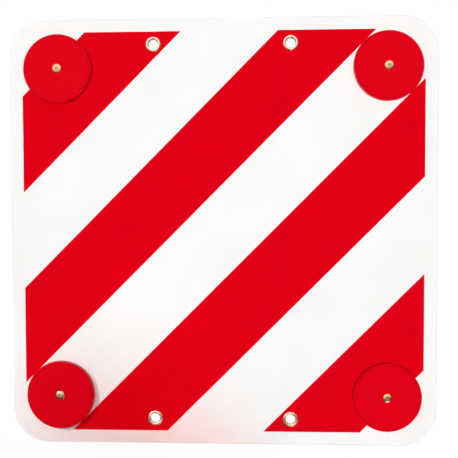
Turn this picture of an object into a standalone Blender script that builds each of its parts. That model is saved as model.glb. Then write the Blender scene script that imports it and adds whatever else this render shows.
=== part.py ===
"""Overhanging load sign: the striped square plate that marks a load reaching out behind a vehicle.

An aluminium sheet carries a white reflective film and, on it, red fields at 45 degrees. Four round red
reflectors are held near its corners by blind rivets, and four brass eyelets take the cords or hooks that
tie the sign to the load. The sign lies on its back, face up, on the closed ends of its rivets. The origin
is on the ground below the middle of the sheet. Lengths are in metres, +X is the sign's right, +Y its top
edge and +Z the way it faces.
"""

import itertools
import math

import bmesh
import bpy
from mathutils import Vector

# Sheet, film and print. The white corner is measured along the falling diagonal, from the printed square's
# corner to the outer red stripe, and the red stripes are counted on one side of the rising diagonal
SIDE = 0.500
CORNER_RADIUS = 0.042
PLATE_THICKNESS = 0.0010
FILM_THICKNESS = 0.00025
RED_THICKNESS = 0.00010
PRINT_MARGIN = 0.015
WHITE_CORNER = 0.0523
RED_STRIPES = 2

# Room between pieces: under a glued layer, under what rests or is clamped, and round what is pushed in
GLUE = 0.00005
SEAT = 0.00010
ROOM = 0.00020

# Eyelets, in pairs along the top and bottom edges, placed by the stripes: the second distance is from the
# inner edge of the outer red stripe to the middle of the eyelet that it carries
EYELET_FROM_EDGE = 0.030
EYELET_IN_STRIPE = 0.0121
EYELET_BORE = 0.0110
EYELET_WALL = 0.00040
BEAD_WIDTH = 0.0034
BEAD_HEIGHT = 0.0015
CURL_WIDTH = 0.0021
CURL_HEIGHT = 0.0009
WASHER_THICKNESS = 0.00055
WASHER_STEP = 0.00025
WASHER_LAND = 0.0014

# Reflectors, one near each corner
REFLECTOR_DIAMETER = 0.080
REFLECTOR_FROM_EDGE = 0.058
LENS_FRONT = 0.0022
LENS_RIM_RADIUS = 0.0014
LENS_SKIRT = 0.0017
LENS_HUB_DIAMETER = 0.0110
PRISM_SIDE = 0.0065
PRISM_CLEARANCE = 0.0006
BASE_THICKNESS = 0.0015
BASE_RIM_HEIGHT = 0.0012
BASE_RIM_WIDTH = 0.0012
BASE_ROOM = 0.0003

# Blind rivets, already pulled
RIVET_DIAMETER = 0.0048
RIVET_HEAD_DIAMETER = 0.0105
RIVET_HEAD_EDGE = 0.0004
RIVET_HEAD_HEIGHT = 0.0016
RIVET_DIMPLE_DIAMETER = 0.0034
BULB_DIAMETER = 0.0074
BULB_LENGTH = 0.0038
BULB_ARC = math.radians(70)
MANDREL_DIAMETER = 0.0026
MANDREL_SUNK = 0.0006
MANDREL_HEAD_DIAMETER = 0.0044
MANDREL_HEAD_LENGTH = 0.0011
MANDREL_CHAMFER = 0.0005

# Facets: round the axis of each kind of piece, and along the arcs of their sections
CORNER_STEPS = 10
EYELET_STEPS = 20
BEAD_STEPS = 5
CURL_STEPS = 3
INSIDE_STEPS = 2
LENS_STEPS = 40
RIM_STEPS = 3
BASE_STEPS = 32
RIVET_STEPS = 16
DOME_STEPS = 4
BULB_STEPS = 3
MANDREL_STEPS = 12
SHARP_ANGLE = math.radians(40)
NEAR = 1e-6

QUARTER_TURN = math.pi / 2
HALF_TURN = math.pi
FULL_TURN = 2 * math.pi

# Levels above the ground, from the rivets' ends up to the rivets' heads
PLATE_BACK = MANDREL_HEAD_LENGTH + SEAT + BULB_LENGTH + SEAT
PLATE_FACE = PLATE_BACK + PLATE_THICKNESS
FILM_BACK = PLATE_FACE + GLUE
FILM_FACE = FILM_BACK + FILM_THICKNESS
RED_BACK = FILM_FACE + GLUE
RED_FACE = RED_BACK + RED_THICKNESS
FRONT_SEAT = RED_FACE + SEAT
BACK_SEAT = PLATE_BACK - SEAT

# Sizes that follow from others: the stripes, all of one width, fill the printed square between its white
# corners, with half of the middle white one on each side of the rising diagonal
PRINTED_HALF = SIDE / 2 - PRINT_MARGIN
STRIPE_WIDTH = (math.sqrt(2) * PRINTED_HALF - WHITE_CORNER) / (2 * RED_STRIPES - 0.5)
BARREL_RADIUS = EYELET_BORE / 2 + EYELET_WALL
EYELET_HOLE = BARREL_RADIUS + ROOM
CURL_RADIUS = EYELET_BORE / 2 + CURL_WIDTH
PRISM_DEPTH = PRISM_SIDE / math.sqrt(6)
LENS_FLOOR = BASE_THICKNESS + PRISM_CLEARANCE + PRISM_DEPTH
REFLECTOR_HEIGHT = LENS_FLOOR + LENS_FRONT
LENS_RADIUS = REFLECTOR_DIAMETER / 2
SKIRT_RADIUS = LENS_RADIUS - LENS_SKIRT
BASE_RADIUS = SKIRT_RADIUS - BASE_ROOM
BASE_RIM_RADIUS = BASE_RADIUS - BASE_RIM_WIDTH
HUB_RADIUS = LENS_HUB_DIAMETER / 2
RIVET_RADIUS = RIVET_DIAMETER / 2
RIVET_HOLE = RIVET_RADIUS + ROOM
HEAD_SEAT = FRONT_SEAT + REFLECTOR_HEIGHT + SEAT


def clear_scene():
    """Remove what the scene holds, so that the file can be run again in an open window."""
    for obj in list(bpy.data.objects):
        bpy.data.objects.remove(obj, do_unlink=True)


def material(name, colour, roughness, metallic=0.0):
    """A plain surface; the colour is linear red, green and blue."""
    made = bpy.data.materials.new(name)
    made.use_nodes = True
    shader = made.node_tree.nodes["Principled BSDF"]
    shader.inputs["Base Color"].default_value = (*colour, 1.0)
    shader.inputs["Roughness"].default_value = roughness
    shader.inputs["Metallic"].default_value = metallic
    made.diffuse_color = (*colour, 1.0)
    return made


def mesh_of(bm, name):
    """The mesh of a finished bmesh, facing outwards and smooth except at its edges."""
    bmesh.ops.recalc_face_normals(bm, faces=bm.faces)
    mesh = bpy.data.meshes.new(name)
    bm.to_mesh(mesh)
    bm.free()
    mesh.shade_smooth()
    mesh.set_sharp_from_angle(angle=SHARP_ANGLE)
    return mesh


def piece(name, mesh, surface, level, parent=None):
    """One object of the sign, at its level and, if it has a parent, over the parent's place."""
    obj = bpy.data.objects.new(name, mesh)
    mesh.materials.clear()
    mesh.materials.append(surface)
    obj.location.z = level
    obj.parent = parent
    bpy.context.scene.collection.objects.link(obj)
    return obj


def place(name, x, y):
    """An empty on the ground that carries the pieces of one reflector or one eyelet."""
    empty = bpy.data.objects.new(name, None)
    empty.location = (x, y, 0.0)
    bpy.context.scene.collection.objects.link(empty)
    return empty


def mirrored_spots(x, y):
    """The four spots that lie this far from the middle of the sheet, by name."""
    return {
        "upper_left": (-x, y),
        "upper_right": (x, y),
        "lower_left": (-x, -y),
        "lower_right": (x, -y),
    }


def stripe_start(order):
    """How far from the rising diagonal a red stripe starts, counted from 0 outwards."""
    return STRIPE_WIDTH * (2 * order + 0.5)


def eyelet_spots():
    height = SIDE / 2 - EYELET_FROM_EDGE
    from_diagonal = stripe_start(RED_STRIPES - 1) + EYELET_IN_STRIPE
    return mirrored_spots(math.sqrt(2) * from_diagonal - height, height)


def reflector_spots():
    middle = SIDE / 2 - REFLECTOR_FROM_EDGE
    return mirrored_spots(middle, middle)


def arc(centre, half_width, half_height, start, end, steps):
    """Points along an ellipse from one angle to another, with both ends."""
    angles = [start + (end - start) * step / steps for step in range(steps + 1)]
    return [(centre[0] + half_width * math.cos(a), centre[1] + half_height * math.sin(a)) for a in angles]


def turn(bm, section, steps, closed):
    """Turn a section, given as radii and heights, once round the Z axis."""
    verts = [bm.verts.new((radius, 0.0, height)) for radius, height in section]
    ends = verts[1:] + verts[:1] if closed else verts[1:]
    edges = [bm.edges.new(pair) for pair in zip(verts, ends)]
    bmesh.ops.spin(
        bm,
        geom=verts + edges,
        cent=(0.0, 0.0, 0.0),
        axis=(0.0, 0.0, 1.0),
        angle=FULL_TURN,
        steps=steps,
        use_merge=True,
    )
    bmesh.ops.remove_doubles(bm, verts=bm.verts, dist=NEAR)


def turned_mesh(name, section, steps, closed=True):
    """A turned piece. A section that isn't closed starts and ends on the axis."""
    bm = bmesh.new()
    turn(bm, section, steps, closed)
    return mesh_of(bm, name)


def thicken(bm, thickness):
    """Raise a flat face, drawn at height 0, into a slab."""
    made = bmesh.ops.extrude_face_region(bm, geom=bm.faces[:])
    risen = [item for item in made["geom"] if isinstance(item, bmesh.types.BMVert)]
    bmesh.ops.translate(bm, verts=risen, vec=(0.0, 0.0, thickness))


def layer_mesh(bm, name):
    """The mesh of a flat layer. Its broad faces are shaded flat, so that punching them leaves no streaks."""
    mesh = mesh_of(bm, name)
    for face in mesh.polygons:
        face.use_smooth = abs(face.normal.z) < NEAR
    return mesh


def sheet_mesh(name, thickness):
    """A square sheet with round corners, before its holes are punched."""
    bm = bmesh.new()
    middle = SIDE / 2 - CORNER_RADIUS
    outline = []
    for quarter, (x, y) in enumerate(((1, 1), (-1, 1), (-1, -1), (1, -1))):
        start = quarter * QUARTER_TURN
        centre = (x * middle, y * middle)
        outline += arc(centre, CORNER_RADIUS, CORNER_RADIUS, start, start + QUARTER_TURN, CORNER_STEPS)
    bm.faces.new([bm.verts.new((x, y, 0.0)) for x, y in outline])
    thicken(bm, thickness)
    return layer_mesh(bm, name)


def stripe_mesh(name, near, side):
    """The stripe of the printed square that starts this far from its rising diagonal."""
    bm = bmesh.new()
    bmesh.ops.create_grid(bm, x_segments=1, y_segments=1, size=PRINTED_HALF)
    across = Vector((side, -side, 0.0)).normalized()
    for distance, cut_away in ((near, -across), (near + STRIPE_WIDTH, across)):
        bmesh.ops.bisect_plane(
            bm,
            geom=bm.verts[:] + bm.edges[:] + bm.faces[:],
            plane_co=across * distance,
            plane_no=cut_away,
            clear_outer=True,
        )
    thicken(bm, RED_THICKNESS)
    return layer_mesh(bm, name)


def red_stripe_meshes():
    """The red stripes, on both sides of the white one that fills the rising diagonal."""
    made = []
    for where, side in (("upper_left", -1), ("lower_right", 1)):
        for order in range(RED_STRIPES):
            made.append(stripe_mesh(f"red_stripe_{where}_{order + 1}", stripe_start(order), side))
    return made


def punch(name, centres, radius, steps):
    """A tool with one round punch over each centre, longer than the sheet, film and print are thick."""
    bm = bmesh.new()
    stack = RED_FACE - PLATE_BACK
    for x, y in centres:
        made = bmesh.ops.create_cone(
            bm, cap_ends=True, segments=steps, radius1=radius, radius2=radius, depth=2 * stack
        )
        bmesh.ops.translate(bm, verts=made["verts"], vec=(x, y, PLATE_BACK + stack / 2))
    tool = bpy.data.objects.new(name, mesh_of(bm, name))
    tool.hide_render = True
    tool.display_type = "WIRE"
    bpy.context.scene.collection.objects.link(tool)
    return tool


def punch_holes(layer, tools):
    """Cut the holes of one layer."""
    for tool in tools:
        cut = layer.modifiers.new(tool.name, "BOOLEAN")
        cut.operation = "DIFFERENCE"
        cut.solver = "EXACT"
        cut.object = tool


def eyelet_mesh():
    """A tube with a hollow half-round bead in front and its end curled over the washer behind.

    Height 0 is where the bead rests on the print.
    """
    bore = EYELET_BORE / 2
    bead = (bore + BEAD_WIDTH / 2, 0.0)
    curl = (bore + CURL_WIDTH / 2, BACK_SEAT - WASHER_THICKNESS + WASHER_STEP - SEAT - FRONT_SEAT)
    section = arc(bead, BEAD_WIDTH / 2, BEAD_HEIGHT, HALF_TURN, 0.0, BEAD_STEPS)
    section += arc(
        bead, BEAD_WIDTH / 2 - EYELET_WALL, BEAD_HEIGHT - EYELET_WALL, 0.0, HALF_TURN, INSIDE_STEPS
    )
    section += arc(
        curl, CURL_WIDTH / 2 - EYELET_WALL, EYELET_WALL - CURL_HEIGHT, HALF_TURN, 0.0, INSIDE_STEPS
    )
    section += arc(curl, CURL_WIDTH / 2, -CURL_HEIGHT, 0.0, HALF_TURN, CURL_STEPS)
    return turned_mesh("eyelet", section, EYELET_STEPS)


def washer_mesh():
    """The ring behind the sheet, pressed thinner near its hole, where the eyelet's curl lies.

    Height 0 is its face against the sheet.
    """
    stepped = CURL_RADIUS + ROOM
    land = stepped + WASHER_STEP
    section = [
        (EYELET_HOLE, 0.0),
        (EYELET_HOLE, WASHER_STEP - WASHER_THICKNESS),
        (stepped, WASHER_STEP - WASHER_THICKNESS),
        (land, -WASHER_THICKNESS),
        (land + WASHER_LAND, -WASHER_THICKNESS),
        (land + WASHER_LAND, 0.0),
    ]
    return turned_mesh("eyelet_washer", section, EYELET_STEPS)


def net_corner(row, column):
    """A corner of the even net of triangles that the prisms stand on. One corner is on the axis."""
    return Vector((PRISM_SIDE * (column + row / 2), PRISM_SIDE * math.sqrt(3) / 2 * row, LENS_FLOOR))


def net_triangles():
    """The net's triangles that lie clear between the hub and the base's rim, by row and column."""
    nearest = math.hypot(HUB_RADIUS + SEAT, PRISM_SIDE / 2)
    farthest = BASE_RIM_RADIUS - SEAT
    reach = math.ceil(2 * farthest / PRISM_SIDE)
    for row, column in itertools.product(range(-reach, reach), repeat=2):
        right = (row, column + 1)
        above = (row + 1, column)
        for third in ((row, column), (row + 1, column + 1)):
            corners = (right, above, third)
            if all(nearest <= net_corner(*corner).xy.length <= farthest for corner in corners):
                yield corners


def add_prisms(bm):
    """Corner-cube prisms: each triangle is poked out to a point where three square faces meet."""
    triangles = list(net_triangles())
    verts = {spot: bm.verts.new(net_corner(*spot)) for spot in sorted(set(itertools.chain(*triangles)))}
    faces = [bm.faces.new([verts[spot] for spot in corners]) for corners in triangles]
    bm.normal_update()
    bmesh.ops.reverse_faces(bm, faces=[face for face in faces if face.normal.z > 0])
    bmesh.ops.poke(bm, faces=faces, offset=PRISM_DEPTH)


def close_ring(bm, height, inside, outside):
    """Fill the flat ring between the open edges that lie at one height between two radii."""

    def on_ring(vert):
        return abs(vert.co.z - height) < NEAR and inside < vert.co.xy.length < outside

    rims = [edge for edge in bm.edges if edge.is_boundary and all(on_ring(vert) for vert in edge.verts)]
    bmesh.ops.triangle_fill(bm, edges=rims, use_beauty=True)


def lens_mesh():
    """The red lens: a smooth front with a round rim, a skirt, a hub for the rivet and prisms behind.

    Height 0 is the foot of its skirt.
    """
    bm = bmesh.new()
    rim = (LENS_RADIUS - LENS_RIM_RADIUS, REFLECTOR_HEIGHT - LENS_RIM_RADIUS)
    skirt = [(SKIRT_RADIUS, LENS_FLOOR), (SKIRT_RADIUS, 0.0), (LENS_RADIUS, 0.0)]
    skirt += arc(rim, LENS_RIM_RADIUS, LENS_RIM_RADIUS, 0.0, QUARTER_TURN, RIM_STEPS)
    turn(bm, skirt, LENS_STEPS, closed=False)
    foot = BASE_THICKNESS + SEAT
    hub = [(HUB_RADIUS, LENS_FLOOR), (HUB_RADIUS, foot), (RIVET_HOLE, foot), (RIVET_HOLE, REFLECTOR_HEIGHT)]
    turn(bm, hub, RIVET_STEPS, closed=False)
    add_prisms(bm)
    halfway = (HUB_RADIUS + SKIRT_RADIUS) / 2
    close_ring(bm, REFLECTOR_HEIGHT, 0.0, LENS_RADIUS)
    close_ring(bm, LENS_FLOOR, 0.0, halfway)
    close_ring(bm, LENS_FLOOR, halfway, LENS_RADIUS)
    return mesh_of(bm, "reflector_lens")


def base_mesh():
    """The reflector's plastic back, with a low rim inside the lens's skirt. Height 0 is its back."""
    section = [
        (RIVET_HOLE, 0.0),
        (BASE_RADIUS, 0.0),
        (BASE_RADIUS, BASE_THICKNESS + BASE_RIM_HEIGHT),
        (BASE_RIM_RADIUS, BASE_THICKNESS + BASE_RIM_HEIGHT),
        (BASE_RIM_RADIUS, BASE_THICKNESS),
        (RIVET_HOLE, BASE_THICKNESS),
    ]
    return turned_mesh("reflector_base", section, BASE_STEPS)


def rivet_mesh():
    """A pulled blind rivet: a domed head with a dimple, and a body that has bulged behind the sheet.

    Height 0 is under its head.
    """
    head = RIVET_HEAD_DIAMETER / 2
    dimple = RIVET_DIMPLE_DIAMETER / 2
    bore = MANDREL_DIAMETER / 2 + SEAT
    shoulder = BACK_SEAT - HEAD_SEAT
    dome = RIVET_HEAD_HEIGHT - RIVET_HEAD_EDGE
    bulge = BULB_DIAMETER / 2 - RIVET_RADIUS
    middle = (RIVET_RADIUS, shoulder - BULB_LENGTH / 2)
    section = [(bore, RIVET_HEAD_HEIGHT - (dimple - bore))]
    section += arc((0.0, RIVET_HEAD_EDGE), head, dome, math.acos(dimple / head), 0.0, DOME_STEPS)
    section += [(head, 0.0), (RIVET_RADIUS, 0.0), (RIVET_RADIUS, shoulder)]
    section += arc(middle, bulge, BULB_LENGTH / 2, BULB_ARC, -BULB_ARC, BULB_STEPS)
    section += [(RIVET_RADIUS, shoulder - BULB_LENGTH), (bore, shoulder - BULB_LENGTH)]
    return turned_mesh("rivet", section, RIVET_STEPS)


def mandrel_mesh():
    """What stays of the rivet's mandrel: its stem, broken off below the dimple, and its head behind.

    Height 0 is under the rivet's head.
    """
    stem = MANDREL_DIAMETER / 2
    head = MANDREL_HEAD_DIAMETER / 2
    top = RIVET_HEAD_HEIGHT - RIVET_DIMPLE_DIAMETER / 2 + stem - MANDREL_SUNK
    end = -HEAD_SEAT
    section = [
        (0.0, top),
        (stem, top),
        (stem, end + MANDREL_HEAD_LENGTH),
        (head, end + MANDREL_HEAD_LENGTH),
        (head, end + MANDREL_CHAMFER),
        (head - MANDREL_CHAMFER, end),
        (0.0, end),
    ]
    return turned_mesh("rivet_mandrel", section, MANDREL_STEPS, closed=False)


def build_layers():
    """The sheet, its film and the red stripes, with holes punched through all of them."""
    aluminium = material("mill_finish_aluminium", (0.62, 0.63, 0.64), 0.38, 1.0)
    white = material("white_reflective_film", (0.86, 0.86, 0.84), 0.42)
    red = material("red_print", (0.73, 0.0, 0.008), 0.35)
    layers = [
        piece("plate", sheet_mesh("plate", PLATE_THICKNESS), aluminium, PLATE_BACK),
        piece("white_film", sheet_mesh("white_film", FILM_THICKNESS), white, FILM_BACK),
    ]
    layers += [piece(mesh.name, mesh, red, RED_BACK) for mesh in red_stripe_meshes()]
    tools = [
        punch("eyelet_punch", eyelet_spots().values(), EYELET_HOLE, EYELET_STEPS),
        punch("rivet_punch", reflector_spots().values(), RIVET_HOLE, RIVET_STEPS),
    ]
    for layer in layers:
        punch_holes(layer, tools)


def build_eyelets():
    """An eyelet and its washer at each of the four holes for cords."""
    brass = material("pale_brass", (0.80, 0.66, 0.42), 0.22, 1.0)
    eyelet = eyelet_mesh()
    washer = washer_mesh()
    for where, centre in eyelet_spots().items():
        spot = place(f"eyelet_place_{where}", *centre)
        piece(f"eyelet_{where}", eyelet, brass, FRONT_SEAT, spot)
        piece(f"eyelet_washer_{where}", washer, brass, BACK_SEAT, spot)


def build_reflectors():
    """A lens on its base near each corner, with the rivet that holds them."""
    red = material("red_acrylic", (0.73, 0.0, 0.008), 0.12)
    grey = material("grey_moulded_plastic", (0.20, 0.20, 0.21), 0.5)
    nickel = material("nickelled_rivet", (0.74, 0.68, 0.58), 0.25, 1.0)
    steel = material("mandrel_steel", (0.45, 0.44, 0.43), 0.4, 1.0)
    lens = lens_mesh()
    base = base_mesh()
    rivet = rivet_mesh()
    mandrel = mandrel_mesh()
    for where, centre in reflector_spots().items():
        spot = place(f"reflector_place_{where}", *centre)
        piece(f"reflector_base_{where}", base, grey, FRONT_SEAT, spot)
        piece(f"reflector_lens_{where}", lens, red, FRONT_SEAT, spot)
        piece(f"rivet_{where}", rivet, nickel, HEAD_SEAT, spot)
        piece(f"rivet_mandrel_{where}", mandrel, steel, HEAD_SEAT, spot)


def main():
    clear_scene()
    build_layers()
    build_eyelets()
    build_reflectors()


main()
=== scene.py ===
"""Looks of the overhanging load sign, laid out as a Blender add-on and run as a script.

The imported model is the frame. The sheet, film, eyelets, washers, lenses, rivets and mandrels are made
again with finer curves, each in its solid's own place, and the print and the reflectors' bases are dressed
as they are. Lengths are in metres. The sign lies on its back, +Y is its top edge and +Z the way it faces.
"""

import math

import bmesh
import bpy
from bpy.props import FloatProperty, FloatVectorProperty, IntProperty, PointerProperty
from mathutils import Matrix, Vector


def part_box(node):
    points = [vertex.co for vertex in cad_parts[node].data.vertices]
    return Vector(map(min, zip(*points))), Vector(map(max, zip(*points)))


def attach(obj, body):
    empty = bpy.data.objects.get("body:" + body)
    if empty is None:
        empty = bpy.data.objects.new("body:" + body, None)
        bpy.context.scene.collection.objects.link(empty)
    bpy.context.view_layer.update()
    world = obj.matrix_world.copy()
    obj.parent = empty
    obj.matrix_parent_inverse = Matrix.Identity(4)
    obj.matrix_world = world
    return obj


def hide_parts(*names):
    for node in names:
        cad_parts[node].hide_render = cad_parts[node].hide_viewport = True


bl_info = {
    "name": "Overhanging Load Sign",
    "version": (1, 0, 0),
    "blender": (4, 5, 0),
    "location": "3D View > Sidebar > Load Sign",
    "description": "Builds the striped sign's finer pieces, its surfaces and its studio",
    "category": "Object",
}

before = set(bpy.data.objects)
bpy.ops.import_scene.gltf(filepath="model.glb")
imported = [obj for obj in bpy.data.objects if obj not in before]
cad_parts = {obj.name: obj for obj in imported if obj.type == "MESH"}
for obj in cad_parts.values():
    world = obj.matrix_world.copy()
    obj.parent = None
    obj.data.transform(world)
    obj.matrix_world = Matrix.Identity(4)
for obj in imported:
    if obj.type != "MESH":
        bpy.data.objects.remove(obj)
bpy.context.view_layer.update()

CORNERS = ("upper_left", "upper_right", "lower_left", "lower_right")
STRIPES = [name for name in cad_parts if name.startswith("red_stripe")]
QUARTER_TURN = math.pi / 2
HALF_TURN = math.pi
FULL_TURN = 2 * math.pi

# Points that are nearer than this are one point
NEAR = 1e-6
# Clearance where a piece rests on another, is clamped to it or grips it
SEAT = 0.0001
# Clearance round what is pushed through a hole or lies in a step
ROOM = 0.0002

# Levels at which the eyelets and reflectors rest in front, the washers behind, and the rivets' heads
FRONT_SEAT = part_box("reflector_base_upper_left")[0].z
BACK_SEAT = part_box("eyelet_washer_upper_left")[1].z
HEAD_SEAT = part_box("reflector_lens_upper_left")[1].z + SEAT

# Thickness of a reflector's base, and width of the low rim round it
BASE_THICKNESS = 0.0015
BASE_RIM = 0.0012

# Facets round one corner of the sheet, and round a hole through it
CORNER_FACETS = 32
HOLE_FACETS = 48


def middle_of(node):
    """The middle of a node, seen from the front."""
    low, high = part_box(node)
    return Vector(((low.x + high.x) / 2, (low.y + high.y) / 2, 0.0))


def reach_of(node):
    """How far a node reaches to each side of its middle, which is the radius of a round one."""
    low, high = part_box(node)
    return (high.x - low.x) / 2


def linear(code):
    """A colour written as an sRGB hex value, as linear red, green, blue and alpha."""
    shares = [int(code[start : start + 2], 16) / 255 for start in (1, 3, 5)]
    curved = [s / 12.92 if s <= 0.04045 else ((s + 0.055) / 1.055) ** 2.4 for s in shares]
    return (*curved, 1.0)


def grey(share):
    """A plain grey, as a linear share of white."""
    return (share, share, share, 1.0)


def length(name, description, default):
    """A length that can be set in the sidebar."""
    return FloatProperty(name=name, description=description, default=default, min=0.0, unit="LENGTH")


def lamp_power(name, description, default):
    """The power of a lamp, which can be set in the sidebar."""
    return FloatProperty(name=name, description=description, default=default, min=0.0, unit="POWER")


def colour(name, description, code):
    """A colour that can be set in the sidebar."""
    return FloatVectorProperty(
        name=name, description=description, default=linear(code), size=4, min=0.0, max=1.0, subtype="COLOR"
    )


class LoadSignSizes(bpy.types.PropertyGroup):
    """Sizes of the finer pieces."""

    corner_radius: length("Corner radius", "Radius of the sheet's four corners", 0.042)
    arris: length("Arris", "Width of the broken edge all round the sheet", 0.00012)
    # The grey metal bared along the film's edge is partly real bare metal and partly painted shade: it
    # stands for the thin shade line round the sheet's edge
    film_margin_edge_shade: length("Film margin", "Bare metal between the film's edge and the sheet's", 0.00035)
    eyelet_bore: length("Eyelet bore", "Diameter of the hole through an eyelet", 0.011)
    eyelet_wall: length("Eyelet wall", "Thickness of the pressed eyelet", 0.0004)
    bead_width: length("Bead width", "Width of an eyelet's bead in front", 0.0034)
    bead_height: length("Bead height", "Height of an eyelet's bead in front", 0.0015)
    curl_width: length("Curl width", "Width of an eyelet's rolled end behind", 0.0021)
    curl_height: length("Curl height", "Height of an eyelet's rolled end behind", 0.0009)
    washer_step: length("Washer step", "How far a washer is pressed in under the rolled end", 0.00025)
    washer_land: length("Washer land", "Width of a washer's flat ring", 0.0014)
    lens_rim: length("Lens rim", "Radius round the edge of a lens", 0.0014)
    lens_skirt: length("Lens skirt", "Thickness of a lens's skirt", 0.0017)
    lens_floor: length("Lens floor", "Height of the prisms' feet over the skirt's edge", 0.004754)
    hub: length("Hub", "Diameter of a lens's hub", 0.011)
    prism_side: length("Prism side", "Side of the corner cubes behind a lens, at their feet", 0.0025)
    rivet: length("Rivet", "Diameter of a rivet's body", 0.0048)
    rivet_head: length("Rivet head", "Diameter of a rivet's head", 0.0105)
    rivet_dome: length("Rivet dome", "Height of a rivet's head", 0.0016)
    dimple: length("Dimple", "Diameter of the dimple in a rivet's head", 0.0034)
    bulb: length("Bulb", "Diameter of a rivet's pulled end", 0.0074)
    bulb_length: length("Bulb length", "Length of a rivet's pulled end", 0.0038)
    mandrel: length("Mandrel", "Diameter of a rivet's mandrel", 0.0026)
    mandrel_head: length("Mandrel head", "Diameter of a mandrel's head", 0.0044)
    turns: IntProperty(name="Turns", description="Facets round a turned piece", default=96, min=12)


class LoadSignColours(bpy.types.PropertyGroup):
    """Colours of the surfaces."""

    film: colour("Film", "White reflective film", "#FAF9F8")
    film_shade: colour("Film shade", "The film where its beads lie deeper", "#F6F5F3")
    ink: colour("Print", "Red print on the film", "#E10016")
    ink_shade: colour("Print shade", "The print where it lies thicker", "#D90015")
    acrylic: colour("Lens", "Red acrylic of the reflectors", "#E30017")
    # Partly the lens's own deeper red, partly painted shade: past the prisms it also stands for the shade
    # round the rivet's head and inside the rim
    acrylic_lines_and_shade: colour("Lens shade", "The lens along its prisms' edges and past them", "#CB0013")
    sheet: colour("Sheet", "Rolled aluminium", "#DCDDDE")
    sheet_shade: colour("Sheet shade", "Rolled aluminium along its duller lines", "#BFC2C5")
    brass: colour("Eyelets", "Pale brass plating", "#F8DECB")
    brass_shade: colour("Eyelet shade", "The plating where it is thinner", "#EFD0B4")
    # Partly the bore's dull plating, partly painted shade inside the hollow of the eyelet
    brass_bore_dull_and_shaded: colour("Eyelet bore", "The dull plating in an eyelet's bore", "#B8A48C")
    zinc: colour("Rivets", "Yellow passivated zinc", "#F0B594")
    zinc_rose: colour("Rivet rose", "The rose drift of the passivation", "#F3A996")
    zinc_gold: colour("Rivet gold", "The gold drift of the passivation", "#E8C664")
    wire: colour("Mandrel", "Drawn steel wire with the same passivation", "#DCC9A2")
    plastic: colour("Bases", "Grey moulded plastic", "#57585A")


def add_node(tree, kind, settings=None, links=None):
    """Add a node. Names in small letters are its own settings, and other names and numbers its sockets."""
    node = tree.nodes.new(kind)
    for name, value in (settings or {}).items():
        if isinstance(name, str) and name.islower():
            setattr(node, name, value)
        else:
            node.inputs[name].default_value = value
    for name, source in (links or {}).items():
        tree.links.new(source, node.inputs[name])
    return node


def new_surface(name, settings):
    """A material of one principled shader, with the settings that are the same all over it."""
    material = bpy.data.materials.new(name)
    material.use_nodes = True
    shader = material.node_tree.nodes["Principled BSDF"]
    for socket, value in settings.items():
        shader.inputs[socket].default_value = value
    if "Base Color" in settings:
        material.diffuse_color = settings["Base Color"]
    return material, material.node_tree, shader


def blend_tones(tree, shader, patterns, second_share, tones):
    """Colour a surface in two tones by two noise patterns laid over each other, which are given back."""
    both = add_node(
        tree,
        "ShaderNodeMix",
        {"data_type": "FLOAT", 0: second_share},
        {2: patterns[0].outputs["Fac"], 3: patterns[1].outputs["Fac"]},
    )
    share = add_node(
        tree, "ShaderNodeMapRange", {"From Min": 0.35, "From Max": 0.65}, {"Value": both.outputs[0]}
    )
    tone = add_node(
        tree,
        "ShaderNodeMix",
        {"data_type": "RGBA", 6: tones[0], 7: tones[1]},
        {0: share.outputs["Result"]},
    )
    tree.links.new(tone.outputs[2], shader.inputs["Base Color"])
    return both.outputs[0]


def finish_bmesh(bm, name, sharp_degrees=40.0):
    """The mesh of a finished bmesh, facing outwards, smooth except where it turns sharply."""
    bmesh.ops.remove_doubles(bm, verts=bm.verts, dist=NEAR)
    bmesh.ops.recalc_face_normals(bm, faces=bm.faces)
    mesh = bpy.data.meshes.new(name)
    bm.to_mesh(mesh)
    bm.free()
    mesh.shade_smooth()
    mesh.set_sharp_from_angle(angle=math.radians(sharp_degrees))
    return mesh


def move_over(mesh, node):
    """Keep each point's place in the piece's own plan, then move the mesh over its node's middle."""
    plan = mesh.attributes.new("plan", "FLOAT_VECTOR", "POINT")
    flat = [share for vert in mesh.vertices for share in (vert.co.x, vert.co.y, 0.0)]
    plan.data.foreach_set("vector", flat)
    mesh.transform(Matrix.Translation(middle_of(node)))


def add_piece(mesh, material, node):
    """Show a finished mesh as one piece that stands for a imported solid."""
    piece = bpy.data.objects.new(mesh.name, mesh)
    mesh.materials.append(material)
    bpy.context.scene.collection.objects.link(piece)
    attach(piece, "root")
    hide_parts(node)


def dress_node(name, material):
    """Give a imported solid, whose shape stays as it is, its surface."""
    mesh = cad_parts[name].data
    mesh.materials.clear()
    mesh.materials.append(material)


def arc(centre, half_width, half_height, start, end, steps):
    """Points along an ellipse from one angle to another, with both ends."""
    angles = [start + (end - start) * step / steps for step in range(steps + 1)]
    return [(centre[0] + half_width * math.cos(a), centre[1] + half_height * math.sin(a)) for a in angles]


def turn(bm, section, steps, closed=True):
    """Spin a section, given as radii and levels, once round the Z axis."""
    verts = [bm.verts.new((radius, 0.0, level)) for radius, level in section]
    ends = verts[1:] + verts[:1] if closed else verts[1:]
    edges = [bm.edges.new(pair) for pair in zip(verts, ends)]
    bmesh.ops.spin(
        bm,
        geom=verts + edges,
        cent=(0.0, 0.0, 0.0),
        axis=(0.0, 0.0, 1.0),
        angle=FULL_TURN,
        steps=steps,
        use_merge=True,
    )
    bmesh.ops.remove_doubles(bm, verts=bm.verts, dist=NEAR)


def turned_pieces(kind, section, closed, material):
    """One turned piece in the place of each of the four solids of a kind."""
    sizes = bpy.context.scene.load_sign_sizes
    for corner in CORNERS:
        bm = bmesh.new()
        turn(bm, section, sizes.turns, closed)
        node = f"{kind}_{corner}"
        mesh = finish_bmesh(bm, f"fine_{node}")
        move_over(mesh, node)
        add_piece(mesh, material, node)


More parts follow.
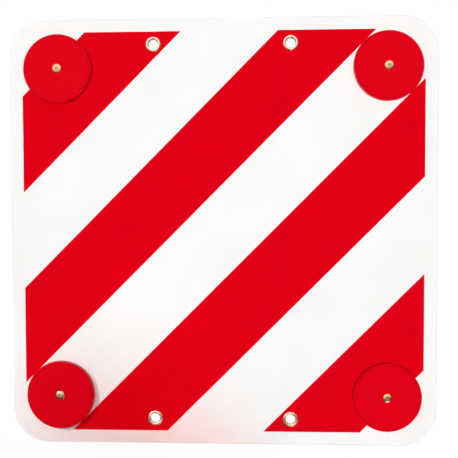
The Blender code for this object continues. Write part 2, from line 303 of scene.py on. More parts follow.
def white_film():
    """Glass-bead reflective film: an even white, satin, with a grain too fine to see from a step away.

    The beads are 0.06 mm across and are drawn as a grain of 0.7 mm. The face waves by a few hundredths of a
    millimetre over some 6 mm, as rolled-on film does, and its white drifts over 70 mm.
    """
    colours = bpy.context.scene.load_sign_colours
    material, tree, shader = new_surface(
        "glass_bead_film", {"Roughness": 0.42, "IOR": 1.48, "Specular IOR Level": 0.35}
    )
    place = add_node(tree, "ShaderNodeTexCoord").outputs["Object"]
    drift = add_node(tree, "ShaderNodeTexNoise", {"Scale": 14.0, "Detail": 2.0}, {"Vector": place})
    grain = add_node(tree, "ShaderNodeTexNoise", {"Scale": 1400.0, "Detail": 2.0}, {"Vector": place})
    wave = add_node(tree, "ShaderNodeTexNoise", {"Scale": 170.0, "Detail": 1.0}, {"Vector": place})
    blend_tones(tree, shader, (drift, grain), 0.35, (colours.film, colours.film_shade))
    waves = add_node(
        tree, "ShaderNodeBump", {"Strength": 0.10, "Distance": 0.0004}, {"Height": wave.outputs["Fac"]}
    )
    beads = add_node(
        tree,
        "ShaderNodeBump",
        {"Strength": 0.12, "Distance": 0.0001},
        {"Height": grain.outputs["Fac"], "Normal": waves.outputs["Normal"]},
    )
    tree.links.new(beads.outputs["Normal"], shader.inputs["Normal"])
    return material


def red_print():
    """Red transparent ink over the film: saturated, satin, a touch deeper where more was laid down.

    Its depth drifts over some 45 mm, and the film's grain, drawn 0.7 mm wide, shows through it.
    """
    colours = bpy.context.scene.load_sign_colours
    material, tree, shader = new_surface(
        "screen_printed_red",
        {"Roughness": 0.38, "IOR": 1.48, "Specular IOR Level": 0.4, "Specular Tint": colours.ink},
    )
    place = add_node(tree, "ShaderNodeTexCoord").outputs["Object"]
    drift = add_node(tree, "ShaderNodeTexNoise", {"Scale": 22.0, "Detail": 3.0}, {"Vector": place})
    grain = add_node(tree, "ShaderNodeTexNoise", {"Scale": 1400.0, "Detail": 2.0}, {"Vector": place})
    blend_tones(tree, shader, (drift, grain), 0.35, (colours.ink, colours.ink_shade))
    beads = add_node(
        tree, "ShaderNodeBump", {"Strength": 0.10, "Distance": 0.0001}, {"Height": grain.outputs["Fac"]}
    )
    tree.links.new(beads.outputs["Normal"], shader.inputs["Normal"])
    return material


def rolled_aluminium():
    """Mill-finish sheet: bright grey metal with fine lines along its rolling direction and dull patches.

    The lines are about 1 mm apart, drawn coarser than the real ones, and run the height of the sheet. The
    patches are about 60 mm wide.
    """
    colours = bpy.context.scene.load_sign_colours
    material, tree, shader = new_surface("mill_finish_aluminium", {"Metallic": 1.0})
    place = add_node(tree, "ShaderNodeTexCoord").outputs["Object"]
    stretched = add_node(tree, "ShaderNodeMapping", {"Scale": (900.0, 6.0, 6.0)}, {"Vector": place})
    lines = add_node(
        tree, "ShaderNodeTexNoise", {"Scale": 1.0, "Detail": 3.0}, {"Vector": stretched.outputs["Vector"]}
    )
    patches = add_node(tree, "ShaderNodeTexNoise", {"Scale": 16.0, "Detail": 4.0}, {"Vector": place})
    both = blend_tones(tree, shader, (lines, patches), 0.5, (colours.sheet, colours.sheet_shade))
    dull = add_node(
        tree,
        "ShaderNodeMapRange",
        {"From Min": 0.3, "From Max": 0.7, "To Min": 0.24, "To Max": 0.48},
        {"Value": both},
    )
    tree.links.new(dull.outputs["Result"], shader.inputs["Roughness"])
    grooves = add_node(
        tree, "ShaderNodeBump", {"Strength": 0.15, "Distance": 0.00005}, {"Height": lines.outputs["Fac"]}
    )
    tree.links.new(grooves.outputs["Normal"], shader.inputs["Normal"])
    return material


def plated_brass():
    """Bright pale brass plate on pressed and rolled eyelets, with faint marks of the press.

    The marks are 0.6 mm wide, and its tone drifts over some 2 mm. The bore is drawn darker, partly for its
    thin, dull plating and partly as painted shade inside the hollow, so that it rings the hole with a
    darker line.
    """
    colours = bpy.context.scene.load_sign_colours
    bore = bpy.context.scene.load_sign_sizes.eyelet_bore / 2
    past_bore = bore + 0.0007
    just_past_bore = bore + 0.0002
    material, tree, shader = new_surface("bright_brass_plate", {"Metallic": 1.0})
    place = add_node(tree, "ShaderNodeTexCoord").outputs["Object"]
    marks = add_node(tree, "ShaderNodeTexNoise", {"Scale": 420.0, "Detail": 3.0}, {"Vector": place})
    fine = add_node(tree, "ShaderNodeTexNoise", {"Scale": 1700.0, "Detail": 2.0}, {"Vector": place})
    tone = add_node(
        tree,
        "ShaderNodeMix",
        {"data_type": "RGBA", 6: colours.brass, 7: colours.brass_shade},
        {0: marks.outputs["Fac"]},
    )
    plan = add_node(tree, "ShaderNodeAttribute", {"attribute_name": "plan"}).outputs["Vector"]
    from_axis = add_node(tree, "ShaderNodeVectorMath", {"operation": "LENGTH"}, {0: plan})
    # Painted shade: the wall of the bore is darkened, partly for its thin dull plating and partly for the
    # shade inside it
    in_bore_shade = add_node(
        tree,
        "ShaderNodeMapRange",
        {"From Min": past_bore, "From Max": just_past_bore},
        {"Value": from_axis.outputs["Value"]},
    )
    plating_and_bore_shade = add_node(
        tree,
        "ShaderNodeMix",
        {"data_type": "RGBA", 7: colours.brass_bore_dull_and_shaded},
        {0: in_bore_shade.outputs["Result"], 6: tone.outputs[2]},
    )
    tree.links.new(plating_and_bore_shade.outputs[2], shader.inputs["Base Color"])
    dull = add_node(
        tree,
        "ShaderNodeMapRange",
        {"From Min": 0.35, "From Max": 0.65, "To Min": 0.20, "To Max": 0.32},
        {"Value": marks.outputs["Fac"]},
    )
    tree.links.new(dull.outputs["Result"], shader.inputs["Roughness"])
    press = add_node(
        tree, "ShaderNodeBump", {"Strength": 0.18, "Distance": 0.00006}, {"Height": fine.outputs["Fac"]}
    )
    tree.links.new(press.outputs["Normal"], shader.inputs["Normal"])
    return material


def passivated_zinc():
    """Zinc plate with a yellow passivation on the rivets: a pale copper tint, as smooth as a bright metal.

    The tint drifts to rose and to gold over some 5 mm, within a rivet's head. The grain of the pressed
    metal is drawn 0.7 mm wide.
    """
    colours = bpy.context.scene.load_sign_colours
    material, tree, shader = new_surface("yellow_passivated_zinc", {"Metallic": 1.0})
    place = add_node(tree, "ShaderNodeTexCoord").outputs["Object"]
    drift = add_node(tree, "ShaderNodeTexNoise", {"Scale": 190.0, "Detail": 2.0}, {"Vector": place})
    fine = add_node(tree, "ShaderNodeTexNoise", {"Scale": 1500.0, "Detail": 3.0}, {"Vector": place})
    to_rose = add_node(
        tree, "ShaderNodeMapRange", {"From Min": 0.5, "From Max": 0.75}, {"Value": drift.outputs["Fac"]}
    )
    to_gold = add_node(
        tree, "ShaderNodeMapRange", {"From Min": 0.5, "From Max": 0.25}, {"Value": drift.outputs["Fac"]}
    )
    rose = add_node(
        tree,
        "ShaderNodeMix",
        {"data_type": "RGBA", 6: colours.zinc, 7: colours.zinc_rose},
        {0: to_rose.outputs["Result"]},
    )
    tone = add_node(
        tree,
        "ShaderNodeMix",
        {"data_type": "RGBA", 7: colours.zinc_gold},
        {0: to_gold.outputs["Result"], 6: rose.outputs[2]},
    )
    tree.links.new(tone.outputs[2], shader.inputs["Base Color"])
    dull = add_node(
        tree,
        "ShaderNodeMapRange",
        {"From Min": 0.35, "From Max": 0.65, "To Min": 0.16, "To Max": 0.26},
        {"Value": fine.outputs["Fac"]},
    )
    tree.links.new(dull.outputs["Result"], shader.inputs["Roughness"])
    press = add_node(
        tree, "ShaderNodeBump", {"Strength": 0.22, "Distance": 0.00006}, {"Height": fine.outputs["Fac"]}
    )
    tree.links.new(press.outputs["Normal"], shader.inputs["Normal"])
    return material


def drawn_wire():
    """Drawn steel wire, pale yellow from its passivation and semi-bright, with a grain 0.3 mm wide."""
    colours = bpy.context.scene.load_sign_colours
    material, tree, shader = new_surface(
        "drawn_steel_wire", {"Base Color": colours.wire, "Metallic": 1.0}
    )
    place = add_node(tree, "ShaderNodeTexCoord").outputs["Object"]
    grain = add_node(tree, "ShaderNodeTexNoise", {"Scale": 3500.0, "Detail": 3.0}, {"Vector": place})
    dull = add_node(
        tree,
        "ShaderNodeMapRange",
        {"From Min": 0.3, "From Max": 0.7, "To Min": 0.32, "To Max": 0.55},
        {"Value": grain.outputs["Fac"]},
    )
    tree.links.new(dull.outputs["Result"], shader.inputs["Roughness"])
    rough = add_node(
        tree, "ShaderNodeBump", {"Strength": 0.4, "Distance": 0.00008}, {"Height": grain.outputs["Fac"]}
    )
    tree.links.new(rough.outputs["Normal"], shader.inputs["Normal"])
    return material


def moulded_base_plastic():
    """Grey moulded ABS with the mould's fine spark-eroded grain, about 0.3 mm across."""
    colours = bpy.context.scene.load_sign_colours
    material, tree, shader = new_surface(
        "moulded_abs", {"Base Color": colours.plastic, "Roughness": 0.5, "IOR": 1.53}
    )
    place = add_node(tree, "ShaderNodeTexCoord").outputs["Object"]
    grain = add_node(tree, "ShaderNodeTexNoise", {"Scale": 3000.0, "Detail": 2.0}, {"Vector": place})
    texture = add_node(
        tree, "ShaderNodeBump", {"Strength": 0.3, "Distance": 0.00005}, {"Height": grain.outputs["Fac"]}
    )
    tree.links.new(texture.outputs["Normal"], shader.inputs["Normal"])
    return material


def prism_height(tree, plan):
    """How deep the corner cubes are over a point: 0 along their edges and a third at their tips."""
    sizes = bpy.context.scene.load_sign_sizes
    row_height = sizes.prism_side * math.sqrt(3) / 2
    nearest = None
    for order in range(3):
        angle = QUARTER_TURN + order * FULL_TURN / 3
        across = Vector((math.cos(angle), math.sin(angle), 0.0)) / row_height
        rows = add_node(
            tree, "ShaderNodeVectorMath", {"operation": "DOT_PRODUCT", 1: across}, {0: plan}
        )
        edge = add_node(
            tree, "ShaderNodeMath", {"operation": "PINGPONG", 1: 0.5}, {0: rows.outputs["Value"]}
        ).outputs["Value"]
        if nearest is None:
            nearest = edge
        else:
            nearest = add_node(
                tree, "ShaderNodeMath", {"operation": "MINIMUM"}, {0: nearest, 1: edge}
            ).outputs["Value"]
    return nearest


def red_acrylic():
    """Moulded acrylic: deep even red under a smooth clear face, through which the prisms' edges just show.

    The prisms are read from the piece's own plan, measured from the middle of its reflector. They tilt only
    the colour's surface: the clear coat over it stays smooth, as the moulded front is. At the hub and the
    rim, where no prisms lie behind, the red is drawn deeper, partly as the bare acrylic and partly as
    painted shade round the rivet's head and inside the rim.
    """
    colours = bpy.context.scene.load_sign_colours
    sizes = bpy.context.scene.load_sign_sizes
    material, tree, shader = new_surface(
        "moulded_red_acrylic",
        {
            "Roughness": 0.30,
            "IOR": 1.49,
            "Specular IOR Level": 0.3,
            "Specular Tint": colours.acrylic,
            "Coat Weight": 0.04,
            "Coat Roughness": 0.06,
            "Coat IOR": 1.49,
        },
    )
    # The prisms show from the hub to just short of the base's rim, and fade in at both
    short_of_rim = 0.0003
    fade = 0.0005
    hub = sizes.hub / 2
    field_edge = reach_of("reflector_base_upper_left") - BASE_RIM - short_of_rim
    plan = add_node(tree, "ShaderNodeAttribute", {"attribute_name": "plan"}).outputs["Vector"]
    height = prism_height(tree, plan)
    from_middle = add_node(
        tree, "ShaderNodeVectorMath", {"operation": "LENGTH"}, {0: plan}
    ).outputs["Value"]
    field = add_node(
        tree,
        "ShaderNodeMapRange",
        {"From Min": field_edge, "From Max": field_edge - fade},
        {"Value": from_middle},
    )
    outside_hub = add_node(
        tree,
        "ShaderNodeMapRange",
        {"From Min": hub, "From Max": hub + fade},
        {"Value": from_middle},
    )
    ring = add_node(
        tree,
        "ShaderNodeMath",
        {"operation": "MULTIPLY"},
        {0: field.outputs["Result"], 1: outside_hub.outputs["Result"]},
    )
    edges = add_node(
        tree,
        "ShaderNodeMapRange",
        {"From Min": 0.07, "From Max": 0.0, "To Max": 0.8},
        {"Value": height},
    )
    # Painted shade: the hub and the rim are drawn deeper red, partly as acrylic with no prisms behind and
    # partly as painted shade round the rivet's head and inside the rim
    hub_and_rim_shade = add_node(
        tree, "ShaderNodeMath", {"operation": "SUBTRACT", 0: 0.6}, {1: ring.outputs["Value"]}
    )
    lines = add_node(
        tree,
        "ShaderNodeMath",
        {"operation": "MAXIMUM"},
        {0: edges.outputs["Result"], 1: hub_and_rim_shade.outputs["Value"]},
    )
    tone = add_node(
        tree,
        "ShaderNodeMix",
        {"data_type": "RGBA", 6: colours.acrylic, 7: colours.acrylic_lines_and_shade},
        {0: lines.outputs["Value"]},
    )
    tree.links.new(tone.outputs[2], shader.inputs["Base Color"])
    depth = add_node(
        tree, "ShaderNodeMath", {"operation": "MULTIPLY"}, {0: height, 1: ring.outputs["Value"]}
    )
    prisms = add_node(
        tree, "ShaderNodeBump", {"Strength": 0.08, "Distance": 0.002}, {"Height": depth.outputs["Value"]}
    )
    tree.links.new(prisms.outputs["Normal"], shader.inputs["Normal"])
    return material


def flat_outline(bm, holes, margin):
    """A flat face of the sheet's outline less a margin, at level 0, with round holes, in triangles."""
    sizes = bpy.context.scene.load_sign_sizes
    half = reach_of("plate") - margin
    bmesh.ops.create_grid(bm, x_segments=1, y_segments=1, size=half)
    bmesh.ops.bevel(
        bm,
        geom=bm.verts[:],
        offset=sizes.corner_radius - margin,
        offset_type="OFFSET",
        segments=CORNER_FACETS,
        profile=0.5,
        affect="VERTICES",
        material=-1,
    )
    bmesh.ops.delete(bm, geom=bm.faces[:], context="FACES_ONLY")
    for middle, radius in holes:
        place = Matrix.Translation(middle)
        bmesh.ops.create_circle(bm, segments=HOLE_FACETS, radius=radius, matrix=place)
    bmesh.ops.triangle_fill(bm, edges=bm.edges[:], use_beauty=True, normal=(0.0, 0.0, 1.0))


def sheet_holes():
    """Middle and radius of each hole through the sheet, as the eyelets' barrels and the rivets need."""
    sizes = bpy.context.scene.load_sign_sizes
    barrel = sizes.eyelet_bore / 2 + sizes.eyelet_wall + ROOM
    body = sizes.rivet / 2 + ROOM
    return [(middle_of(f"eyelet_{corner}"), barrel) for corner in CORNERS] + [
        (middle_of(f"rivet_{corner}"), body) for corner in CORNERS
    ]


def layer(node, material, arris, margin=0.0):
    """A flat layer in its solid's place, set in by a margin, with the edges of both faces broken."""
    low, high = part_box(node)
    bm = bmesh.new()
    flat_outline(bm, sheet_holes(), margin)
    bmesh.ops.translate(bm, verts=bm.verts, vec=(0.0, 0.0, low.z + arris))
    lower = bm.faces[:]
    made = bmesh.ops.extrude_face_region(bm, geom=lower, use_keep_orig=True)
    risen = [item for item in made["geom"] if isinstance(item, bmesh.types.BMVert)]
    upper = [item for item in made["geom"] if isinstance(item, bmesh.types.BMFace)]
    bmesh.ops.translate(bm, verts=risen, vec=(0.0, 0.0, high.z - low.z - 2 * arris))
    bmesh.ops.recalc_face_normals(bm, faces=bm.faces)
    for broad in (lower, upper):
        bmesh.ops.inset_region(
            bm, faces=broad, thickness=arris, depth=arris, use_even_offset=True, use_boundary=True
        )
    add_piece(finish_bmesh(bm, f"fine_{node}", sharp_degrees=30.0), material, node)


class LOADSIGN_OT_layers(bpy.types.Operator):
    """Make the sheet and its film with round corners and broken edges, and dress the red print."""

    bl_idname = "loadsign.layers"
    bl_label = "Sheet, Film and Print"

    def execute(self, context):
        sizes = context.scene.load_sign_sizes
        layer("plate", rolled_aluminium(), sizes.arris)
        # The film is set in so that a thin line of grey metal shows round the sheet, as painted shade along
        # its edge
        layer("white_film", white_film(), sizes.arris / 4, sizes.film_margin_edge_shade)
        ink = red_print()
        for name in STRIPES:
            dress_node(name, ink)
        return {"FINISHED"}


class LOADSIGN_OT_eyelets(bpy.types.Operator):
    """Turn the four eyelets, with their beads in front, and the washers under their rolled ends."""

    bl_idname = "loadsign.eyelets"
    bl_label = "Eyelets"

    def execute(self, context):
        sizes = context.scene.load_sign_sizes
        brass = plated_brass()
        turned_pieces("eyelet", self.eyelet_section(sizes), True, brass)
        turned_pieces("eyelet_washer", self.washer_section(sizes), True, brass)
        return {"FINISHED"}

    def eyelet_section(self, sizes):
        """A hollow half-round bead over the print, a tube, and an end rolled over the washer."""
        bore = sizes.eyelet_bore / 2
        wall = sizes.eyelet_wall
        washer_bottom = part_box("eyelet_washer_upper_left")[0].z
        bead_half = sizes.bead_width / 2
        curl_half = sizes.curl_width / 2
        bead = (bore + bead_half, FRONT_SEAT)
        curl = (bore + curl_half, washer_bottom + sizes.washer_step - SEAT)
        section = arc(bead, bead_half, sizes.bead_height, HALF_TURN, 0.0, steps=16)
        section += arc(bead, bead_half - wall, sizes.bead_height - wall, 0.0, HALF_TURN, steps=8)
        section += arc(curl, curl_half - wall, wall - sizes.curl_height, HALF_TURN, 0.0, steps=6)
        section += arc(curl, curl_half, -sizes.curl_height, 0.0, HALF_TURN, steps=10)
        return section

    def washer_section(self, sizes):
        """A flat ring, pressed thinner where the eyelet's rolled end lies."""
        low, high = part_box("eyelet_washer_upper_left")
        hole = sizes.eyelet_bore / 2 + sizes.eyelet_wall + ROOM
        stepped = sizes.eyelet_bore / 2 + sizes.curl_width + ROOM
        land = stepped + sizes.washer_step
        rim = land + sizes.washer_land
        broken_edge = 0.00012
        return [
            (hole, high.z),
            (hole, low.z + sizes.washer_step),
            (stepped, low.z + sizes.washer_step),
            (land, low.z),
            (rim - broken_edge, low.z),
            (rim, low.z + broken_edge),
            (rim, high.z),
        ]


class LOADSIGN_OT_reflectors(bpy.types.Operator):
    """Mould the four red lenses with their prisms, and dress the bases that close them."""

    bl_idname = "loadsign.reflectors"
    bl_label = "Reflectors"

    def execute(self, context):
        acrylic = red_acrylic()
        plastic = moulded_base_plastic()
        for corner in CORNERS:
            node = f"reflector_lens_{corner}"
            mesh = self.lens_mesh(context.scene.load_sign_sizes, node)
            add_piece(mesh, acrylic, node)
            dress_node(f"reflector_base_{corner}", plastic)
        return {"FINISHED"}

    def lens_mesh(self, sizes, node):
        """A smooth front with a round rim, a skirt, a hub for the rivet, and prisms behind."""
        bm = bmesh.new()
        self.turn_shell(bm, sizes, node)
        self.add_prisms(bm, sizes)
        self.close_floor(bm)
        mesh = finish_bmesh(bm, f"fine_{node}", sharp_degrees=32.0)
        move_over(mesh, node)
        return mesh

    def turn_shell(self, bm, sizes, node):
        """Everything of the lens that is turned: hub, front, rim and skirt."""
        low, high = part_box(node)
        radius = reach_of(node)
        skirt = radius - sizes.lens_skirt
        floor = low.z + sizes.lens_floor
        foot = FRONT_SEAT + BASE_THICKNESS + SEAT
        hole = sizes.rivet / 2 + ROOM
        lip = 0.0003
        broken_edge = 0.0002
        round_rim = (radius - sizes.lens_rim, high.z - sizes.lens_rim)
        section = [(sizes.hub / 2, floor), (sizes.hub / 2, foot), (hole, foot)]
        section += arc((hole + lip, high.z - lip), lip, lip, HALF_TURN, QUARTER_TURN, steps=4)
        section += [(radius - 2.5 * sizes.lens_rim, high.z)]
        section += arc(round_rim, sizes.lens_rim, sizes.lens_rim, QUARTER_TURN, 0.0, steps=8)
        section += [(radius, low.z + broken_edge), (radius - broken_edge, low.z)]
        section += [(skirt, low.z), (skirt, floor)]
        turn(bm, section, sizes.turns, closed=False)

    def add_prisms(self, bm, sizes):
        """Corner cubes on an even net of triangles, clear of the hub and of the base's rim."""
        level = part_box("reflector_lens_upper_left")[0].z + sizes.lens_floor
        nearest = sizes.hub / 2 + SEAT
        farthest = reach_of("reflector_base_upper_left") - BASE_RIM - SEAT
        rows = math.ceil(farthest / (sizes.prism_side * math.sqrt(3) / 2))
        made = bmesh.ops.create_circle(
            bm,
            cap_ends=True,
            cap_tris=True,
            segments=6,
            radius=rows * sizes.prism_side,
            matrix=Matrix.Translation((0.0, 0.0, level)),
        )
        edges = list({edge for vert in made["verts"] for edge in vert.link_edges})
        bmesh.ops.subdivide_edges(bm, edges=edges, cuts=rows - 1, use_grid_fill=True)
        prisms = []
        outside = []
        for face in bm.faces:
            if all(abs(vert.co.z - level) < NEAR for vert in face.verts):
                clear = all(nearest < vert.co.xy.length < farthest for vert in face.verts)
                (prisms if clear else outside).append(face)
        bmesh.ops.delete(bm, geom=outside, context="FACES")
        bm.normal_update()
        bmesh.ops.reverse_faces(bm, faces=[face for face in prisms if face.normal.z > 0])
        bmesh.ops.poke(bm, faces=prisms, offset=sizes.prism_side / math.sqrt(6))

    def close_floor(self, bm):
        """Fill the flat rings between the prisms and the hub, and between the prisms and the skirt."""
        halfway = reach_of("reflector_base_upper_left") / 2
        for inside in (True, False):
            open_edges = [
                edge
                for edge in bm.edges
                if edge.is_boundary and (edge.verts[0].co.xy.length < halfway) == inside
            ]
            bmesh.ops.triangle_fill(bm, edges=open_edges, use_beauty=True, normal=(0.0, 0.0, -1.0))


class LOADSIGN_OT_rivets(bpy.types.Operator):
    """Turn the four pulled rivets and what stays of their mandrels."""

    bl_idname = "loadsign.rivets"
    bl_label = "Rivets"

    def execute(self, context):
        sizes = context.scene.load_sign_sizes
        turned_pieces("rivet", self.rivet_section(sizes), True, passivated_zinc())
        turned_pieces("rivet_mandrel", self.mandrel_section(sizes), False, drawn_wire())
        return {"FINISHED"}

    def rivet_section(self, sizes):
        """A domed head with a rounded dimple, a straight body, and a bulged end behind the sheet."""
        head = sizes.rivet_head / 2
        body = sizes.rivet / 2
        dimple = sizes.dimple / 2
        bore = sizes.mandrel / 2 + SEAT
        head_edge = 0.0004
        dimple_depth = 0.0008
        dimple_slope = 0.00012
        lip_width = 0.0001
        lip_drop = 0.00006
        under_inset = 0.00015
        under_rise = 0.0001
        # The angle at which the dome starts, just outside the dimple
        lip = math.acos(dimple / head) - 0.04
        dome = sizes.rivet_dome - head_edge
        lip_level = HEAD_SEAT + head_edge + dome * math.sin(lip)
        bulb = (body, BACK_SEAT - sizes.bulb_length / 2)
        bulb_end = BACK_SEAT - sizes.bulb_length
        bulge = math.radians(70)
        section = [(bore, lip_level - dimple_depth)]
        section += [(bore + dimple_slope, lip_level - dimple_depth / 2)]
        section += [(dimple - lip_width, lip_level - lip_drop)]
        section += arc((0.0, HEAD_SEAT + head_edge), head, dome, lip, 0.0, steps=14)
        section += [(head - under_inset, HEAD_SEAT + under_rise)]
        section += [(head - head_edge, HEAD_SEAT), (body, HEAD_SEAT), (body, BACK_SEAT)]
        section += arc(bulb, sizes.bulb / 2 - body, sizes.bulb_length / 2, bulge, -bulge, steps=12)
        section += [(body, bulb_end), (bore, bulb_end)]
        return section

    def mandrel_section(self, sizes):
        """A stem that necks down to its rough break, below the dimple, and a chamfered head behind."""
        stem = sizes.mandrel / 2
        head = sizes.mandrel_head / 2
        head_length = 0.0011
        chamfer = 0.0005
        low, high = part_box("rivet_mandrel_upper_left")
        # Shares of the stem's radius, and how far the break lies below the stem's highest point there
        broken_end = ((0.0, 0.00012), (0.35, 0.0), (0.72, 0.00010), (0.80, 0.00035), (1.0, 0.0011))
        return [(stem * share, high.z - depth) for share, depth in broken_end] + [
            (stem, low.z + head_length),
            (head, low.z + head_length),
            (head, low.z + chamfer),
            (head - chamfer, low.z),
            (0.0, low.z),
        ]


def floor_surface():
    """A matt white floor. Seen by the camera or in metal it is white, and it keeps a faint shadow.

    It fades to the walls' white away from the sign. From below it lets the eye and the light through, so
    that the sign's back can be looked at.
    """
    own_glow = 0.90
    shadowed_share = 0.12
    paint_share = 0.8
    fade_start = 0.36
    fade_end = 0.50
    material = bpy.data.materials.new("white_studio_floor")
    material.use_nodes = True
    tree = material.node_tree
    tree.nodes.remove(tree.nodes["Principled BSDF"])
    path = add_node(tree, "ShaderNodeLightPath")
    side = add_node(tree, "ShaderNodeNewGeometry")
    seen = add_node(
        tree,
        "ShaderNodeMath",
        {"operation": "MAXIMUM"},
        {0: path.outputs["Is Camera Ray"], 1: path.outputs["Is Glossy Ray"]},
    )
    shown = add_node(
        tree,
        "ShaderNodeMath",
        {"operation": "MAXIMUM"},
        {0: seen.outputs["Value"], 1: path.outputs["Is Transmission Ray"]},
    )
    glow = add_node(tree, "ShaderNodeEmission", {"Color": grey(1.0), "Strength": own_glow})
    shadowed = add_node(tree, "ShaderNodeBsdfDiffuse", {"Color": grey(shadowed_share)})
    near = add_node(tree, "ShaderNodeAddShader", {}, {0: glow.outputs[0], 1: shadowed.outputs[0]})
    far = add_node(tree, "ShaderNodeEmission", {"Color": grey(1.0), "Strength": 1.0})
    place = add_node(tree, "ShaderNodeTexCoord").outputs["Object"]
    away = add_node(tree, "ShaderNodeVectorMath", {"operation": "LENGTH"}, {0: place})
    fade = add_node(
        tree,
        "ShaderNodeMapRange",
        {"interpolation_type": "SMOOTHSTEP", "From Min": fade_start, "From Max": fade_end},
        {"Value": away.outputs["Value"]},
    )
    white = add_node(
        tree,
        "ShaderNodeMixShader",
        {},
        {0: fade.outputs["Result"], 1: near.outputs[0], 2: far.outputs[0]},
    )
    paint = add_node(tree, "ShaderNodeBsdfDiffuse", {"Color": grey(paint_share)})
    front = add_node(
        tree,
        "ShaderNodeMixShader",
        {},
        {0: shown.outputs["Value"], 1: paint.outputs[0], 2: white.outputs[0]},
    )
    through = add_node(
        tree,
        "ShaderNodeMath",
        {"operation": "MAXIMUM"},
        {0: side.outputs["Backfacing"], 1: path.outputs["Is Shadow Ray"]},
    )
    clear = add_node(tree, "ShaderNodeBsdfTransparent")
    both = add_node(
        tree,
        "ShaderNodeMixShader",
        {},
        {0: through.outputs["Value"], 1: front.outputs[0], 2: clear.outputs[0]},
    )
    tree.links.new(both.outputs[0], tree.nodes["Material Output"].inputs["Surface"])
    return material


def studio_world(fill):
    """An even soft fill. The camera sees white, and metal sees a window high past the sign's top edge.

    Towards the window the walls grow brighter, from one cosine of the angle to it up to another.
    """
    window = (-0.20, 0.72, 0.66)
    cosines = (0.25, 0.85)
    strengths = (0.05, 1.45)
    world = bpy.data.worlds.new("studio_walls")
    world.use_nodes = True
    bpy.context.scene.world = world
    tree = world.node_tree
    path = add_node(tree, "ShaderNodeLightPath")
    place = add_node(tree, "ShaderNodeTexCoord")
    towards_window = add_node(
        tree,
        "ShaderNodeVectorMath",
        {"operation": "DOT_PRODUCT", 1: window},
        {0: place.outputs["Generated"]},
    )
    room = add_node(
        tree,
        "ShaderNodeMapRange",
        {
            "From Min": cosines[0],
            "From Max": cosines[1],
            "To Min": strengths[0],
            "To Max": strengths[1],
        },
        {"Value": towards_window.outputs["Value"]},
    )
    glossy = add_node(
        tree,
        "ShaderNodeMix",
        {"data_type": "FLOAT", 2: fill},
        {0: path.outputs["Is Glossy Ray"], 3: room.outputs["Result"]},
    )
    seen = add_node(
        tree,
        "ShaderNodeMix",
        {"data_type": "FLOAT", 3: 1.0},
        {0: path.outputs["Is Camera Ray"], 2: glossy.outputs[0]},
    )
    tree.links.new(seen.outputs[0], tree.nodes["Background"].inputs["Strength"])
    tree.nodes["Background"].inputs["Color"].default_value = grey(1.0)


class LoadSignStudio(bpy.types.PropertyGroup):
    """Light and camera."""

    fill: FloatProperty(name="Fill", description="Light from all round", default=0.30, min=0.0)
    left: lamp_power("Left softbox", "Soft light onto the lower left of the sheet", 0.168)
    warm: lamp_power("Warm bounce", "Reddish light onto the lower margin", 0.135)
    glint: lamp_power("Glint", "Low light that shows only where it is mirrored", 1.3)
    above: lamp_power("Bank above", "Even light from straight above", 3.80)
    under: lamp_power("Under light", "Light from below, for the sheet's back", 18.0)
    focal: FloatProperty(
        name="Focal length", description="On a frame 36 mm wide", default=54.73, min=1.0, unit="CAMERA"
    )


def softbox(name, place, target, width, power, spread_degrees=180.0, tint="#FFFFFF"):
    """A square soft lamp that points at a target, and that the camera doesn't see."""
    lamp = bpy.data.lights.new(name, "AREA")
    lamp.shape = "SQUARE"
    lamp.size = width
    lamp.energy = power
    lamp.spread = math.radians(spread_degrees)
    lamp.color = linear(tint)[:3]
    box = bpy.data.objects.new(name, lamp)
    box.location = place
    box.rotation_euler = (Vector(target) - Vector(place)).to_track_quat("-Z", "Y").to_euler()
    box.visible_camera = False
    bpy.context.scene.collection.objects.link(box)
    return box


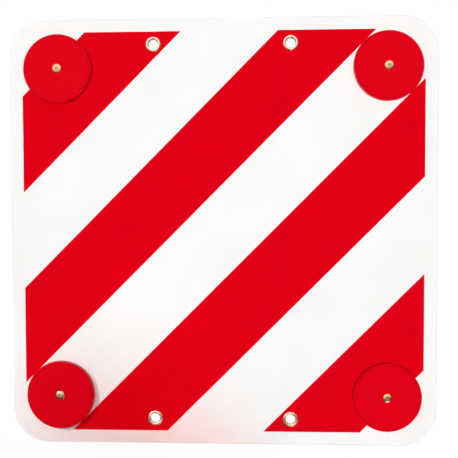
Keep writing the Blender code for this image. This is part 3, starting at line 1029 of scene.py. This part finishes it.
class LOADSIGN_OT_studio(bpy.types.Operator):
    """Set up the floor, the soft light and the camera that looks down on the sign."""

    bl_idname = "loadsign.studio"
    bl_label = "Studio"

    def execute(self, context):
        studio = context.scene.load_sign_studio
        floor = self.lay_floor()
        studio_world(studio.fill)
        self.hang_lamps(studio, floor)
        self.set_camera(studio.focal)
        context.scene.view_settings.view_transform = "Standard"
        return {"FINISHED"}

    def hang_lamps(self, studio, floor):
        """The lamps. A spread of less than 180 degrees keeps a lamp's light to one part of the sheet."""
        softbox(
            "left_softbox",
            place=(-0.72, 0.12, 0.60),
            target=(-0.29, -0.18, 0.0),
            width=0.22,
            power=studio.left,
            spread_degrees=20.6,
            tint="#FFF9F8",
        )
        bounce = softbox(
            "warm_bounce",
            place=(0.195, -0.62, 0.33),
            target=(-0.044, -0.368, 0.0),
            width=0.20,
            power=studio.warm,
            spread_degrees=22.9,
            tint="#FF7068",
        )
        bounce.visible_glossy = False
        self.keep_off(bounce, floor)
        glint = softbox(
            "glint_softbox",
            place=(0.31, -0.77, 0.385),
            target=(0.19, -0.19, 0.0),
            width=0.40,
            power=studio.glint,
        )
        glint.visible_diffuse = False
        bank = softbox(
            "bank_above",
            place=(0.40, 0.245, 1.0),
            target=(0.40, 0.245, 0.0),
            width=1.3,
            power=studio.above,
            spread_degrees=14.0,
        )
        # One edge of its square beam cuts across the sheet's lower left corner, which stays dimmer
        bank.rotation_euler.z += math.radians(-39.9)
        bank.visible_glossy = False
        softbox(
            "under_light",
            place=(0.0, 0.0, -1.2),
            target=(0.0, 0.0, 0.0),
            width=2.0,
            power=studio.under,
        )

    def lay_floor(self):
        """A floor that reaches 6 m to each side of the sign."""
        bm = bmesh.new()
        bmesh.ops.create_grid(bm, x_segments=1, y_segments=1, size=6.0)
        mesh = bpy.data.meshes.new("studio_floor")
        bm.to_mesh(mesh)
        bm.free()
        mesh.materials.append(floor_surface())
        floor = bpy.data.objects.new("studio_floor", mesh)
        bpy.context.scene.collection.objects.link(floor)
        return floor

    def keep_off(self, lamp, floor):
        """Let a lamp light everything but the floor, so that a tinted one leaves the floor plain."""
        spared = bpy.data.collections.new(f"{lamp.name}_spares")
        spared.objects.link(floor)
        spared.collection_objects[0].light_linking.link_state = "EXCLUDE"
        lamp.light_linking.receiver_collection = spared

    def set_camera(self, focal):
        """A camera whose place and tilt bring the sign's corners and eyelets onto the picture's."""
        place = (0.04194, 0.03390, 0.82157)
        tilt_degrees = (-2.0633, 2.3777, -0.1428)
        lens = bpy.data.cameras.new("camera")
        lens.lens = focal
        lens.sensor_width = 36.0
        lens.clip_start = 0.01
        camera = bpy.data.objects.new("camera", lens)
        camera.location = place
        camera.rotation_euler = [math.radians(angle) for angle in tilt_degrees]
        bpy.context.scene.collection.objects.link(camera)
        bpy.context.scene.camera = camera


class LOADSIGN_PT_panel(bpy.types.Panel):
    """The sign's sizes, colours and studio, with a button for each group of pieces."""

    bl_label = "Load Sign"
    bl_space_type = "VIEW_3D"
    bl_region_type = "UI"
    bl_category = "Load Sign"

    def draw(self, context):
        scene = context.scene
        for title, group in (
            ("Sizes", scene.load_sign_sizes),
            ("Colours", scene.load_sign_colours),
            ("Studio", scene.load_sign_studio),
        ):
            box = self.layout.box()
            box.label(text=title)
            for name in group.__annotations__:
                box.prop(group, name)
        for operator in OPERATORS:
            self.layout.operator(operator.bl_idname)


GROUPS = {
    "load_sign_sizes": LoadSignSizes,
    "load_sign_colours": LoadSignColours,
    "load_sign_studio": LoadSignStudio,
}
OPERATORS = (
    LOADSIGN_OT_layers,
    LOADSIGN_OT_eyelets,
    LOADSIGN_OT_reflectors,
    LOADSIGN_OT_rivets,
    LOADSIGN_OT_studio,
)


def register():
    for name, group in GROUPS.items():
        bpy.utils.register_class(group)
        setattr(bpy.types.Scene, name, PointerProperty(type=group))
    for made in (*OPERATORS, LOADSIGN_PT_panel):
        bpy.utils.register_class(made)


def unregister():
    for made in (LOADSIGN_PT_panel, *reversed(OPERATORS)):
        bpy.utils.unregister_class(made)
    for name, group in GROUPS.items():
        delattr(bpy.types.Scene, name)
        bpy.utils.unregister_class(group)


def main():
    register()
    bpy.ops.loadsign.layers()
    bpy.ops.loadsign.eyelets()
    bpy.ops.loadsign.reflectors()
    bpy.ops.loadsign.rivets()
    bpy.ops.loadsign.studio()


if __name__ == "__main__":
    main()
